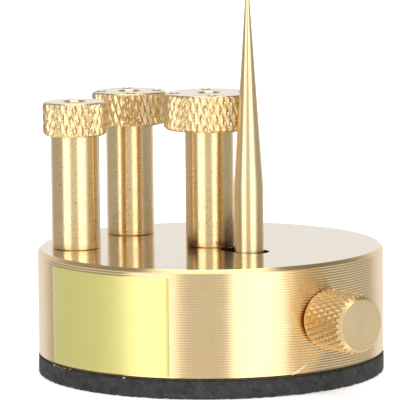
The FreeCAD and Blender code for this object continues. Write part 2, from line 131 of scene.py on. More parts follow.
def noise(tree, vector, scale, detail=3.0, rough=0.5):
    inputs = {"Vector": vector, "Scale": scale, "Detail": detail, "Roughness": rough}
    return add(tree, "ShaderNodeTexNoise", inputs).outputs[0]


def axesOf(tree, vector):
    return add(tree, "ShaderNodeSeparateXYZ", {0: vector}).outputs


def combine(tree, x=0.0, y=0.0, z=0.0):
    return add(tree, "ShaderNodeCombineXYZ", {0: x, 1: y, 2: z}).outputs[0]


def scaled(tree, vector, factor):
    return add(tree, "ShaderNodeVectorMath", {0: vector, "Scale": factor}, operation="SCALE").outputs[0]


def dot(tree, first, second):
    return add(tree, "ShaderNodeVectorMath", {0: first, 1: second}, operation="DOT_PRODUCT").outputs["Value"]


def fromAxis(tree, vector):
    # distance from the Z axis
    flat = add(tree, "ShaderNodeVectorMath", {0: vector, 1: (1, 1, 0)}, operation="MULTIPLY").outputs[0]
    return add(tree, "ShaderNodeVectorMath", {0: flat}, operation="LENGTH").outputs["Value"]


def geometry(tree, kind, inputs=None, **settings):
    return add(tree, "GeometryNode" + kind, inputs, **settings).outputs[0]


def polar(tree, radius, angle, height):
    x = times(tree, radius, maths(tree, "COSINE", angle))
    y = times(tree, radius, maths(tree, "SINE", angle))
    return combine(tree, x, y, height)


def newGroup(name, kind, inputs, outputs):
    tree = bpy.data.node_groups.new(name, kind)
    for side, sockets in (("INPUT", inputs), ("OUTPUT", outputs)):
        for label, (socket, *rest) in sockets.items():
            item = tree.interface.new_socket(label, in_out=side, socket_type="NodeSocket" + socket)
            if rest:
                item.default_value = rest[0]
    start = tree.nodes.new("NodeGroupInput")
    end = tree.nodes.new("NodeGroupOutput")
    return tree, start.outputs, end


def newMaterial(name, **constants):
    material = bpy.data.materials.new(name)
    material.use_nodes = True
    shader = material.node_tree.nodes["Principled BSDF"]
    for socket, value in constants.items():
        shader.inputs[socket.replace("_", " ")].default_value = value
    return material, material.node_tree, shader


# Studio: pale floor in a room whose brightness changes with the angle round the object,
# so the turned metal shows two bright soft boxes between greyer walls
studio = {
    "floorSize": 6.0,
    "floorColour": (0.93, 0.93, 0.93),
    "floorRough": 0.9,
    "floorGlow": 0.30,
    "topSize": 0.7,
    "topHeight": 0.8,
    "topPower": 2.0,
    "zenith": 1.9,
    "fillLight": 1.08,
    # where the room turns into its upper, lower and top parts, as the sine of the elevation
    "upper": (0.2, 0.6),
    "lower": (-0.25, -0.55),
    "top": (0.9, 0.95),
    # degrees to the right of the camera, then the brightness level with the eye, above it and below it
    "room": [
        (-180, 0.91, 0.70, 0.88),
        (-146, 0.91, 0.70, 0.88),
        (-132, 0.48, 0.36, 0.95),
        (-60, 0.48, 0.3, 1.05),
        (-55, 2.2, 1.35, 1.45),
        (-25, 2.2, 1.35, 1.45),
        (-21.5, 0.8, 0.73, 0.84),
        (12, 0.8, 0.73, 0.84),
        (15.5, 2.4, 1.6, 1.7),
        (47, 2.2, 2.2, 2.2),
        (58, 0.9, 1.1, 1.1),
        (72, 0.46, 0.5, 1.0),
        (84, 0.44, 0.2, 1.0),
        (132, 0.5, 0.28, 1.0),
        (146, 0.93, 0.62, 0.90),
        (180, 0.91, 0.70, 0.88),
    ],
}


def makeFloor():
    half = studio["floorSize"] / 2
    mesh = bpy.data.meshes.new("floor")
    corners = [(-half, -half, 0), (half, -half, 0), (half, half, 0), (-half, half, 0)]
    mesh.from_pydata(corners, [], [(0, 1, 2, 3)])
    floor = bpy.data.objects.new("floor", mesh)
    scene.collection.objects.link(floor)
    material, tree, shader = newMaterial(
        "paleFloor", Base_Color=(*studio["floorColour"], 1), Roughness=studio["floorRough"],
        Emission_Color=(1, 1, 1, 1), Emission_Strength=studio["floorGlow"])
    mesh.materials.append(material)
    floor.visible_glossy = False  # the metal mirrors the room, not the floor


def makeTopLight():
    data = bpy.data.lights.new("softBox_top", "AREA")
    data.shape = "SQUARE"
    data.size = studio["topSize"]
    data.energy = studio["topPower"]
    light = bpy.data.objects.new("softBox_top", data)
    light.location = (0, 0, studio["topHeight"])
    light.visible_glossy = False
    scene.collection.objects.link(light)


def makeRoomRamp(tree, ray, brightest):
    # reads the room's list at the ray's angle from the camera: the levels at the eye, above and below
    towards, aside = (dot(tree, ray, direction(view["azimuth"] + turned, 0)) for turned in (0, 90))
    angle = maths(tree, "ARCTAN2", aside, towards)
    shade = add(tree, "ShaderNodeValToRGB", {0: ramp(tree, angle, -math.pi, math.pi)})
    points = shade.color_ramp.elements
    for index, (degrees, *levels) in enumerate(studio["room"]):
        share = (degrees + 180) / 360
        point = points[index] if index < 2 else points.new(share)
        point.position = share
        point.color = (*[level / brightest for level in levels], 1)
    return add(tree, "ShaderNodeSeparateColor", {0: shade.outputs[0]}).outputs


def makeRoom():
    world = bpy.data.worlds.new("whiteRoom")
    scene.world = world
    world.use_nodes = True
    tree = world.node_tree
    tree.nodes.clear()
    ray = add(tree, "ShaderNodeTexCoord").outputs["Generated"]
    height = axesOf(tree, ray)[2]
    brightest = max(levels[0] for degrees, *levels in studio["room"])
    room, above, below = makeRoomRamp(tree, ray, brightest)
    zenith = studio["zenith"] / brightest
    for part, value in (("upper", above), ("lower", below), ("top", zenith)):
        room = blendNumbers(tree, ramp(tree, height, *studio[part], smooth=True), room, value)
    # only what the metal mirrors has the bands: the camera sees white and dull surfaces get even light
    path = add(tree, "ShaderNodeLightPath").outputs
    lit = blendColours(tree, path["Is Diffuse Ray"], room, (studio["fillLight"] / brightest,) * 3)
    seen = blendColours(tree, path["Is Camera Ray"], lit, (1, 1, 1))
    background = add(tree, "ShaderNodeBackground", {"Color": seen, "Strength": brightest})
    add(tree, "ShaderNodeOutputWorld", {"Surface": background.outputs[0]})


makeFloor()
makeTopLight()
makeRoom()
print("studio lit")


# Where most values of a noise lie, for spreading it over a whole range
wideSpan = (0.3, 0.7)
narrowSpan = (0.35, 0.65)


# Shader groups, shared by several finishes
def makeTurningMarks():
    # fine lines of a lathe tool: along the axis on a side, in rings on a face
    inputs = {"Vector": ("Vector",), "Pitch": ("Float", 0.0001)}
    outputs = {"Height": ("Float",), "Bands": ("Float",)}
    tree, start, end = newGroup("turningMarks", "ShaderNodeTree", inputs, outputs)
    travel = maths(tree, "ADD", fromAxis(tree, start["Vector"]), axesOf(tree, start["Vector"])[2])
    path = maths(tree, "DIVIDE", travel, start["Pitch"])
    for label, scale, detail in (("Height", 1.0, 2.0), ("Bands", 0.11, 1.0)):
        inputs = {"W": path, "Scale": scale, "Detail": detail}
        lines = add(tree, "ShaderNodeTexNoise", inputs, noise_dimensions="1D")
        tree.links.new(lines.outputs[0], end.inputs[label])
    return tree


def makeHandling():
    # cloudy tone and small spots that bare brass gets from fingers and air
    inputs = {"Vector": ("Vector",), "Size": ("Float", 0.01)}
    outputs = {"Cloud": ("Float",), "Spots": ("Float",)}
    tree, start, end = newGroup("handling", "ShaderNodeTree", inputs, outputs)
    vector = scaled(tree, start["Vector"], maths(tree, "DIVIDE", 1.0, start["Size"]))
    cloud = noise(tree, vector, scale=1.0, detail=4.0, rough=0.6)
    spots = noise(tree, vector, scale=14.0, detail=2.0, rough=0.7)
    tree.links.new(ramp(tree, cloud, *wideSpan), end.inputs["Cloud"])
    tree.links.new(ramp(tree, spots, 0.58, 0.70, smooth=True), end.inputs["Spots"])
    return tree


turningMarks = makeTurningMarks()
handling = makeHandling()


def placeGroup(tree, group, inputs):
    return add(tree, "ShaderNodeGroup", inputs, node_tree=group).outputs


def centred(tree, centre=(0, 0, 0), lying=False):
    # object coordinates with the piece's own axis as Z; lying means its axis runs along X
    coordinates = add(tree, "ShaderNodeTexCoord").outputs["Object"]
    turn = (0, -math.pi / 2, 0) if lying else (0, 0, 0)
    shift = (centre[2], -centre[1], -centre[0]) if lying else tuple(-value for value in centre)
    inputs = {"Vector": coordinates, "Location": shift, "Rotation": turn}
    return add(tree, "ShaderNodeMapping", inputs).outputs[0]


def dress(tree, shader, colour, rough, height, bump, depth):
    # depth, in millimetres, is how far the bump's height reaches
    tree.links.new(colour, shader.inputs["Base Color"])
    tree.links.new(rough, shader.inputs["Roughness"])
    relief = add(tree, "ShaderNodeBump", {"Height": height, "Strength": bump, "Distance": depth * mm})
    tree.links.new(relief.outputs[0], shader.inputs["Normal"])


def setTangent(tree, shader, axis):
    # the turned lines run round this axis and stretch the highlights across them
    tangent = add(tree, "ShaderNodeTangent", direction_type="RADIAL", axis=axis)
    tree.links.new(tangent.outputs[0], shader.inputs["Tangent"])


# Brass: what every piece has, and then what differs from piece to piece
plainBrass = {
    "pitch": 0.15,
    "bump": 0.2,
    "streak": 0.3,
    "pale": 0.0,
    "pocketShade": 0.0,
    "spots": 0.35,
    "valley": 0.6,
}
brass = {
    "spikeBrass": {"rough": (0.27, 0.33), "pitch": 0.2, "bump": 0.05, "streak": 0.8, "pale": 0.85,
                   "spots": 0.5},
    "postBrass": {"rough": (0.25, 0.33), "pitch": 0.2, "bump": 0.06, "streak": 0.8, "pale": 0.7,
                  "spots": 0.9},
    "knobBrass": {"rough": (0.28, 0.34), "pitch": 0.6, "bump": 0.1, "streak": 0.15, "valley": 0.8},
    "innerBrass": {"rough": (0.28, 0.40)},
    # the carriage lies down in the pocket under the slot, so it gets painted shade
    "carriageBrass": {"rough": (0.35, 0.50), "pocketShade": 0.85},
}
brassColours = {
    "clean": (0.86, 0.63, 0.32),
    "pale": (0.86, 0.68, 0.40),
    "cloudy": (0.80, 0.56, 0.27),
    "spot": (0.42, 0.25, 0.11),
    "pocketShadeColour": (0.16, 0.11, 0.06),
    "valley": (0.78, 0.58, 0.30),
    "groove": (0.80, 0.63, 0.38),
    "recessShade": (0.10, 0.06, 0.03),
    "footShade": (0.14, 0.08, 0.04),
}
wearSize = 3.5 * mm
reliefDepth = 0.02

# Flat ends: the posts' tops are lapped smooth, the knob's end is only faced; their paler colours are a
# painted reflection of the bright room.
# The finish fades in over the last few hundredths of a millimetre
flatEnds = {
    "lapped": {"colour": (0.84, 0.70, 0.49), "rough": 0.12, "rings": 0.98},
    "faced": {"colour": (0.90, 0.72, 0.43), "rough": 0.48, "rings": 0.91},
}
endFade = (0.04, 0.01)

# Painted shade in the small holes: how deep under the face it starts and ends, and the radius it starts at
shadedHoles = {"from": 0.05, "to": 3.7, "radius": 2.2}

# Painted shade at the mounted post's foot, where the slot and spike beside it darken the shank, in
# millimetres above it:
# high towards the spike, low towards the front. Edge is how squarely a spot faces that way, as a share of
# the shank's radius
footShade = {
    "shank": 3.5,
    "ragged": 3,
    "patchScale": 700.0,
    "strength": 0.95,
    "rough": 0.45,
    "sides": [
        {"towards": 25, "edge": (0.80, 0.93), "fade": (7, 0)},
        {"towards": -88, "edge": (0.92, 0.98), "fade": (3, 0.5)},
    ],
}


def tintBrass(tree, vector, numbers):
    wear = placeGroup(tree, handling, {"Vector": vector, "Size": wearSize})
    colour = blendColours(tree, wear["Cloud"], brassColours["clean"], brassColours["cloudy"])
    colour = blendColours(tree, numbers["pale"], colour, brassColours["pale"])
    # painted shade, for a piece down in the base's pocket
    colour = blendColours(tree, numbers["pocketShade"], colour, brassColours["pocketShadeColour"])
    colour = blendColours(tree, times(tree, wear["Spots"], numbers["spots"]), colour, brassColours["spot"])
    # the turned pieces store how deep the knurl is cut
    valley = add(tree, "ShaderNodeAttribute", attribute_name="valley").outputs["Fac"]
    return blendColours(tree, times(tree, valley, numbers["valley"]), colour, brassColours["valley"])


# painted shade on the mounted post's shank: ragged patches near the foot, on the sides facing the spike and
# the front
def addFootShade(tree, vector, along, foot, colour, rough):
    patches = noise(tree, vector, footShade["patchScale"], detail=4.0, rough=0.65)
    ragged = times(tree, maths(tree, "SUBTRACT", 0.5, patches), footShade["ragged"] * mm)
    level = maths(tree, "ADD", along, ragged)
    layers = []
    for side in footShade["sides"]:
        turned = math.radians(side["towards"])
        facing = dot(tree, vector, (math.cos(turned), math.sin(turned), 0))
        edge = [share * footShade["shank"] * mm for share in side["edge"]]
        fade = [foot + height * mm for height in side["fade"]]
        masks = ramp(tree, level, *fade, smooth=True), ramp(tree, facing, *edge, smooth=True)
        layers.append(times(tree, *masks))
    mask = maths(tree, "MAXIMUM", *layers)
    colour = blendColours(tree, times(tree, mask, footShade["strength"]), colour, brassColours["footShade"])
    return colour, ramp(tree, mask, 0, 1, rough, footShade["rough"])


# painted shade inside a post's small holes
def shadeHoles(tree, vector, along, end, colour):
    reach = fromAxis(tree, vector)
    inside = times(
        tree,
        maths(tree, "LESS_THAN", reach, end["holesWithin"]),
        maths(tree, "GREATER_THAN", reach, shadedHoles["radius"] * mm),
        maths(tree, "GREATER_THAN", along, end["at"] - shadedHoles["to"] * mm),
        maths(tree, "LESS_THAN", along, end["at"] - shadedHoles["from"] * mm))
    return blendColours(tree, inside, colour, brassColours["recessShade"])


def addFlatEnd(tree, along, end, lines, colour, rough):
    numbers = flatEnds[end["kind"]]
    low, high = (end["at"] - under * mm for under in endFade)
    atEnd = ramp(tree, along, low, high)
    rings = ramp(tree, lines, *narrowSpan, numbers["rings"], 1.0)
    colour = blendColours(tree, atEnd, colour, scaled(tree, numbers["colour"], rings))
    return colour, blendNumbers(tree, atEnd, rough, numbers["rough"])


def makeBrass(kind, name, centre=(0, 0, 0), lying=False, end=None, shadedFoot=None, gapShadeUpTo=None):
    # end describes a flat end; the two after it are heights along the piece's own axis: where painted shade
    # at a post's foot starts, and up to where painted shade at the knob's back reaches
    numbers = {**plainBrass, **brass[kind]}
    material, tree, shader = newMaterial(name, Metallic=1.0, Anisotropic=numbers["streak"],
                                         Anisotropic_Rotation=0.25)
    vector = centred(tree, centre, lying)
    along = axesOf(tree, vector)[2]
    marks = placeGroup(tree, turningMarks, {"Vector": vector, "Pitch": numbers["pitch"] * mm})
    colour = tintBrass(tree, vector, numbers)
    rough = ramp(tree, marks["Bands"], *wideSpan, *numbers["rough"])
    # painted shade round the foot of the mounted post
    if shadedFoot is not None:
        colour, rough = addFootShade(tree, vector, along, shadedFoot, colour, rough)
    # painted shade in the gap at the knob's back, where it meets the base
    if gapShadeUpTo is not None:
        gapShade = ramp(tree, along, gapShadeUpTo, gapShadeUpTo - 0.1 * mm)
        colour = blendColours(tree, gapShade, colour, brassColours["spot"])
    if end:
        if "holesWithin" in end:
            colour = shadeHoles(tree, vector, along, end, colour)
        colour, rough = addFlatEnd(tree, along, end, marks["Height"], colour, rough)
    dress(tree, shader, colour, rough, marks["Height"], numbers["bump"], reliefDepth)
    setTangent(tree, shader, "X" if lying else "Z")
    return material


# Base: lined side and a lapped top in one piece, so its finish changes with the height. The top's paler
# colour is a painted reflection of the bright room
baseFinish = {
    "streak": 0.9,
    "pitch": 0.3 * mm,
    "wearSize": 9 * mm,
    "spots": 0.12,
    "topHeight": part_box("base_body")[1].z,
    "topFade": (0.1 * mm, 0.02 * mm),
    "topSheenColour": (0.83, 0.71, 0.53),
    "topRough": (0.06, 0.11),
    "topRelief": 0.12,
    "radius": 25 * mm,
    "grooveFade": (0.008 * mm, 0.03 * mm),
    "grooveDepth": 0.07 * mm,
    "shadeWithin": 23 * mm,
    "shadeUnder": 0.12 * mm,
    "sideRough": (0.19, 0.23),
    "bump": 0.1,
}


def maskGrooves(tree, reach):
    # the turned lines of the side, which are cut a little into the base's radius
    radius = baseFinish["radius"]
    start, end = (radius - depth for depth in baseFinish["grooveFade"])
    floor = maths(tree, "GREATER_THAN", reach, radius - baseFinish["grooveDepth"])
    return times(tree, ramp(tree, reach, start, end), floor)


def makeBaseBrass():
    numbers, topHeight = baseFinish, baseFinish["topHeight"]
    material, tree, shader = newMaterial("baseBrass", Metallic=1.0, Anisotropic=numbers["streak"],
                                         Anisotropic_Rotation=0.25)
    vector = centred(tree)
    height = axesOf(tree, vector)[2]
    reach = fromAxis(tree, vector)
    low, high = (topHeight - under for under in numbers["topFade"])
    top = ramp(tree, height, low, high)
    marks = placeGroup(tree, turningMarks, {"Vector": vector, "Pitch": numbers["pitch"]})
    wear = placeGroup(tree, handling, {"Vector": vector, "Size": numbers["wearSize"]})
    side = blendColours(tree, wear["Cloud"], brassColours["clean"], brassColours["cloudy"])
    side = blendColours(tree, times(tree, wear["Spots"], numbers["spots"]), side, brassColours["spot"])
    # the grooves get a less orange colour, painted to cancel the shade of the double reflections inside them
    side = blendColours(tree, maskGrooves(tree, reach), side, brassColours["groove"])
    # the top's paler colour is a painted reflection of the bright room
    colour = blendColours(tree, top, side, numbers["topSheenColour"])
    # painted shade darkens the slot and the pocket under it
    shadedInside = times(tree, maths(tree, "LESS_THAN", reach, numbers["shadeWithin"]),
                   maths(tree, "LESS_THAN", height, topHeight - numbers["shadeUnder"]))
    colour = blendColours(tree, shadedInside, colour, brassColours["recessShade"])
    topRough = ramp(tree, wear["Cloud"], 0, 1, *numbers["topRough"])
    sideRough = ramp(tree, marks["Bands"], *wideSpan, *numbers["sideRough"])
    rough = blendNumbers(tree, top, sideRough, topRough)
    relief = times(tree, marks["Height"], ramp(tree, top, 0, 1, 1.0, numbers["topRelief"]))
    dress(tree, shader, colour, rough, relief, numbers["bump"], reliefDepth)
    setTangent(tree, shader, "Z")
    return material


steel = {"bright": (0.60, 0.60, 0.61), "dull": (0.48, 0.48, 0.49), "rough": (0.22, 0.36), "pitch": 0.1 * mm}


def makeSteel():
    material, tree, shader = newMaterial("turnedSteel", Metallic=1.0, Anisotropic=0.4)
    marks = placeGroup(tree, turningMarks, {"Vector": centred(tree), "Pitch": steel["pitch"]})
    colour = blendColours(tree, marks["Bands"], steel["bright"], steel["dull"])
    rough = ramp(tree, marks["Bands"], *wideSpan, *steel["rough"])
    dress(tree, shader, colour, rough, marks["Height"], 0.15, reliefDepth)
    return material


rubber = {
    "dark": (0.014, 0.014, 0.015),
    "light": (0.034, 0.034, 0.034),
    "crumb": (0.10, 0.10, 0.10),
    "rough": (0.62, 0.86),
    "grainScale": 2600.0,
    "cloudScale": 800.0,
    "crumbScale": 900.0,
}


def makeRubber():
    material, tree, shader = newMaterial("speckledRubber")
    vector = centred(tree)
    grain = noise(tree, vector, rubber["grainScale"], rough=0.6)
    wide = noise(tree, vector, rubber["cloudScale"])
    crumbs = add(tree, "ShaderNodeTexVoronoi", {"Vector": vector, "Scale": rubber["crumbScale"]}).outputs[0]
    colour = blendColours(tree, ramp(tree, wide, *narrowSpan), rubber["dark"], rubber["light"])
    colour = blendColours(tree, ramp(tree, crumbs, 0.10, 0.06), colour, rubber["crumb"])
    dress(tree, shader, colour, ramp(tree, grain, *wideSpan, *rubber["rough"]), grain, bump=0.8, depth=0.1)
    return material


glue = {"thick": (0.045, 0.028, 0.010), "thin": (0.14, 0.09, 0.03), "rough": (0.25, 0.5), "scale": 700.0}


def makeGlueFinish():
    material, tree, shader = newMaterial("driedGlue")
    drift = noise(tree, centred(tree), glue["scale"])
    colour = blendColours(tree, ramp(tree, drift, *narrowSpan), glue["thick"], glue["thin"])
    dress(tree, shader, colour, ramp(tree, drift, *wideSpan, *glue["rough"]), drift, bump=0.4, depth=0.05)
    return material


foil = {
    "bright": (0.73, 0.67, 0.18),
    "dull": (0.71, 0.645, 0.16),
    "rough": (0.36, 0.40),
    "driftScale": 160.0,
    "grainScale": 5200.0,
}


def makeFoil():
    material, tree, shader = newMaterial("labelFoil", Metallic=0.6, Coat_Weight=1.0, Coat_Roughness=0.3,
                                         Coat_IOR=1.9)
    vector = centred(tree)
    drift = noise(tree, vector, foil["driftScale"])
    grain = noise(tree, vector, foil["grainScale"], detail=1.0)
    colour = blendColours(tree, ramp(tree, drift, *wideSpan), foil["bright"], foil["dull"])
    dress(tree, shader, colour, ramp(tree, drift, *wideSpan, *foil["rough"]), grain, bump=0.04, depth=0.01)
    return material


def middle(name):
    return tuple((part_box(name)[0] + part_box(name)[1]) / 2)


def makeKnobFinish():
    low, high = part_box("thumb_knob")
    centre = (0, 0, middle("thumb_knob")[2])
    # a thin band of painted shade at the knob's back, for the gap against the base
    gapShadeBand = 0.12 * mm
    return makeBrass("knobBrass", "knobBrass", centre, lying=True, end={"kind": "faced", "at": high.x},
                     gapShadeUpTo=low.x + gapShadeBand)


def makePostFinish(name):
    low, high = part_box(name)
    x, y = middle(name)[:2]
    rim = 0.6 * mm
    end = {"kind": "lapped", "at": high.z, "holesWithin": (high.x - low.x) / 2 - rim}
    # only the mounted post gets the painted shade at its foot
    shadedFoot = low.z if name == "work_post" else None
    return makeBrass("postBrass", name + "_finish", (x, y, 0), end=end, shadedFoot=shadedFoot)


finishes = {
    "base_body": makeBaseBrass(),
    "rubber_pad": makeRubber(),
    "pad_adhesive": makeGlueFinish(),
    "name_plate": makeFoil(),
    "spike": makeBrass("spikeBrass", "spikeBrass", middle("spike")),
    "thumb_knob": makeKnobFinish(),
    "spike_carriage": makeBrass("carriageBrass", "carriageBrass"),
    "keeper_plate": makeBrass("innerBrass", "plateBrass"),
    "work_post": makePostFinish("work_post"),
    "spare_post_drilled": makePostFinish("spare_post_drilled"),
    "spare_post_plain": makePostFinish("spare_post_plain"),
}
turnedSteel = makeSteel()
for name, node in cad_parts.items():
    node.data.materials.clear()
    node.data.materials.append(finishes.get(name, turnedSteel))
print("finishes made")


# Turned pieces. The tree turns a profile round Z and can cut a diamond knurl into its widest part
def cutKnurl(tree, start, angle, height):
    # two crossing sets of ridges; gives 0 on a crest and 1 in the deepest valley
    phase = maths(tree, "DIVIDE", times(tree, angle, start["Teeth"]), 2 * math.pi)
    rise = maths(tree, "DIVIDE", height, start["Diamond Length"])
    cuts = []
    for operation, share in (("ADD", 1.0), ("SUBTRACT", start["Second Cut"])):
        wave = maths(tree, "FRACT", maths(tree, operation, phase, rise))
        ridge = times(tree, maths(tree, "ABSOLUTE", maths(tree, "SUBTRACT", wave, 0.5)), 2.0)
        peak = maths(tree, "MINIMUM", times(tree, ridge, start["Crest"]), 1.0)
        cuts.append(times(tree, maths(tree, "SUBTRACT", 1.0, peak), share))
    return maths(tree, "MAXIMUM", *cuts)


def readProfile(tree, start, flat):
    # a grid's X picks a point of the profile
    last = maths(tree, "SUBTRACT", start["Profile Points"], 1)
    index = maths(tree, "ROUND", times(tree, maths(tree, "ADD", flat[0], 0.5), last))
    inputs = {"Geometry": start["Profile"], "Value": geometry(tree, "InputPosition"), "Index": index}
    return axesOf(tree, geometry(tree, "SampleIndex", inputs, data_type="FLOAT_VECTOR", domain="POINT"))


def paint(tree, shape, finish):
    whole = geometry(tree, "RealizeInstances", {0: shape})
    return geometry(tree, "SetMaterial", {"Geometry": whole, "Material": finish})


def makeTurningTree():
    tree, start, end = newGroup("turnedPiece", "GeometryNodeTree", {
        "Profile": ("Geometry",),
        "Profile Points": ("Int", 10),
        "Around": ("Int", 96),
        "Teeth": ("Int", 0),
        "Knurl Radius": ("Float", 0.0),
        "Knurl Depth": ("Float", 0.0),
        "Diamond Length": ("Float", 0.001),
        "Crest": ("Float", 1.0),
        "Second Cut": ("Float", 0.75),
        "Waver": ("Float", 0.0),
        "Waver Size": ("Float", 0.002),
        "Waver From": ("Float", 0.0),
        "Lift": ("Float", 0.0),
        "Finish": ("Material",),
    }, {"Piece": ("Geometry",)})
    around = maths(tree, "ADD", start["Around"], 1)
    inputs = {"Size X": 1.0, "Size Y": 1.0, "Vertices X": start["Profile Points"], "Vertices Y": around}
    grid = geometry(tree, "MeshGrid", inputs)
    flat = axesOf(tree, geometry(tree, "InputPosition"))
    angle = times(tree, maths(tree, "ADD", flat[1], 0.5), 2 * math.pi)
    corner = readProfile(tree, start, flat)
    # without teeth the knurl's limit lies a metre out, so it cuts nothing
    cut = times(tree, cutKnurl(tree, start, angle, corner[2]), start["Knurl Depth"])
    knurled = maths(tree, "GREATER_THAN", start["Teeth"], 0.5)
    limit = maths(tree, "ADD", maths(tree, "SUBTRACT", start["Knurl Radius"], cut),
                  maths(tree, "SUBTRACT", 1.0, knurled))
    radius = maths(tree, "MINIMUM", corner[0], limit)
    # a hand cut edge wanders inwards a little
    spot = polar(tree, radius, angle, corner[2])
    drift = noise(tree, spot, maths(tree, "DIVIDE", 1.0, start["Waver Size"]))
    outer = maths(tree, "GREATER_THAN", radius, start["Waver From"])
    radius = maths(tree, "SUBTRACT", radius, times(tree, drift, start["Waver"], outer))
    # and its lower corner upwards
    footHeight, liftSpan = 0.4 * mm, (0.4, 0.65)
    nearFoot = times(tree, ramp(tree, corner[2], footHeight, 0.0), outer)
    lift = times(tree, ramp(tree, drift, *liftSpan), start["Lift"], nearFoot)
    place = polar(tree, radius, angle, maths(tree, "ADD", corner[2], lift))
    # the finish needs how deep the knurl is cut, 0 on a crest and 1 in a valley; deeper spots aren't knurled
    leastDepth = 0.01 * mm
    depth = maths(tree, "MAXIMUM", start["Knurl Depth"], leastDepth)
    deep = maths(tree, "DIVIDE", maths(tree, "SUBTRACT", start["Knurl Radius"], radius), depth)
    deepest = 1.02
    inBand = times(tree, knurled, maths(tree, "LESS_THAN", deep, deepest))
    inputs = {"Geometry": grid, "Name": "valley", "Value": times(tree, deep, inBand)}
    stored = geometry(tree, "StoreNamedAttribute", inputs, data_type="FLOAT", domain="POINT")
    bent = geometry(tree, "SetPosition", {"Geometry": stored, "Position": place})
    weld = 0.002 * mm
    closed = geometry(tree, "MergeByDistance", {"Geometry": bent, "Distance": weld})
    outward = geometry(tree, "FlipFaces", {0: closed})
    tree.links.new(paint(tree, outward, start["Finish"]), end.inputs["Piece"])
    return tree


def makeDrillingTree():
    # holes on a circle, each with a bevelled rim, drilled down from a face
    tree, start, end = newGroup("drilledHoles", "GeometryNodeTree", {
        "Blank": ("Geometry",),
        "Count": ("Int", 4),
        "Circle Radius": ("Float", 0.005),
        "First Angle": ("Float", 0.0),
        "Face Height": ("Float", 0.0),
        "Hole Radius": ("Float", 0.0005),
        "Rim Radius": ("Float", 0.0008),
        "Depth": ("Float", 0.003),
        "Sides": ("Int", 28),
        "Finish": ("Material",),
    }, {"Piece": ("Geometry",)})
    ring = geometry(tree, "MeshCircle", {"Vertices": start["Count"], "Radius": start["Circle Radius"]})
    height, turned = combine(tree, z=start["Face Height"]), combine(tree, z=start["First Angle"])
    ring = geometry(tree, "Transform", {"Geometry": ring, "Translation": height, "Rotation": turned})
    # the drill is centred on the face, so half of it stands clear above
    length = times(tree, start["Depth"], 2.0)
    inputs = {"Vertices": start["Sides"], "Radius": start["Hole Radius"], "Depth": length}
    drill = geometry(tree, "MeshCylinder", inputs)
    bevel = maths(tree, "SUBTRACT", start["Rim Radius"], start["Hole Radius"])
    narrow = maths(tree, "SUBTRACT", start["Rim Radius"], times(tree, bevel, 2.0))
    wide = maths(tree, "ADD", start["Rim Radius"], bevel)
    inputs = {"Vertices": start["Sides"], "Radius Top": wide, "Radius Bottom": narrow,
              "Depth": times(tree, bevel, 3.0)}
    cone = geometry(tree, "MeshCone", inputs)
    sunk = combine(tree, z=times(tree, bevel, -2.0))
    cone = geometry(tree, "Transform", {"Geometry": cone, "Translation": sunk})
    piece = start["Blank"]
    for tool in (drill, cone):
        spread = geometry(tree, "InstanceOnPoints", {"Points": ring, "Instance": tool})
        inputs = {"Mesh 1": piece, "Mesh 2": geometry(tree, "RealizeInstances", {0: spread})}
        piece = geometry(tree, "MeshBoolean", inputs, operation="DIFFERENCE", solver="MANIFOLD")
    tree.links.new(paint(tree, piece, start["Finish"]), end.inputs["Piece"])
    return tree


turnedPiece = makeTurningTree()
drilledHoles = makeDrillingTree()


def runTree(thing, tree, values):
    # sets the tree's inputs by their identifiers and keeps the result as a plain mesh
    modifier = thing.modifiers.new(tree.name, "NODES")
    modifier.node_group = tree
    for item in tree.interface.items_tree:
        if item.in_out == "INPUT" and item.name in values:
            modifier[item.identifier] = values[item.name]
    bpy.context.view_layer.update()
    depsgraph = bpy.context.evaluated_depsgraph_get()
    made = bpy.data.meshes.new_from_object(thing.evaluated_get(depsgraph))
    thing.modifiers.remove(modifier)
    thing.data = made


def newObject(name, mesh):
    thing = bpy.data.objects.new(name, mesh)
    scene.collection.objects.link(thing)
    return thing


def fill(first, last, steps):
    # points from first up to, but not with, last
    return [tuple(a + (b - a) * step / steps for a, b in zip(first, last)) for step in range(steps)]


def turn(name, profile, finish, around, **others):
    mesh = bpy.data.meshes.new(name)
    mesh.from_pydata([(radius * mm, 0, height * mm) for radius, height in profile], [], [])
    thing = newObject(name, mesh)
    values = {"Profile Points": len(profile), "Around": around, "Finish": finish}
    values.update({label.replace("_", " "): value for label, value in others.items()})
    runTree(thing, turnedPiece, values)
    return thing


def turnKnurled(name, profile, finish, diameter, sizes):
    teeth, cornersPerTooth = round(math.pi * diameter / sizes["toothPitch"]), 10
    return turn(name, profile, finish, teeth * cornersPerTooth, Teeth=teeth, Knurl_Radius=diameter / 2 * mm,
                Knurl_Depth=sizes["knurlDepth"] * mm, Diamond_Length=sizes["diamondLength"] * mm,
                Crest=sizes["crest"])


def finishMesh(thing, angle=30):
    thing.data.shade_smooth()
    thing.data.set_sharp_from_angle(angle=math.radians(angle))


def put(thing, body, slot, *nodes):
    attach(thing, body)
    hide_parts(*nodes)


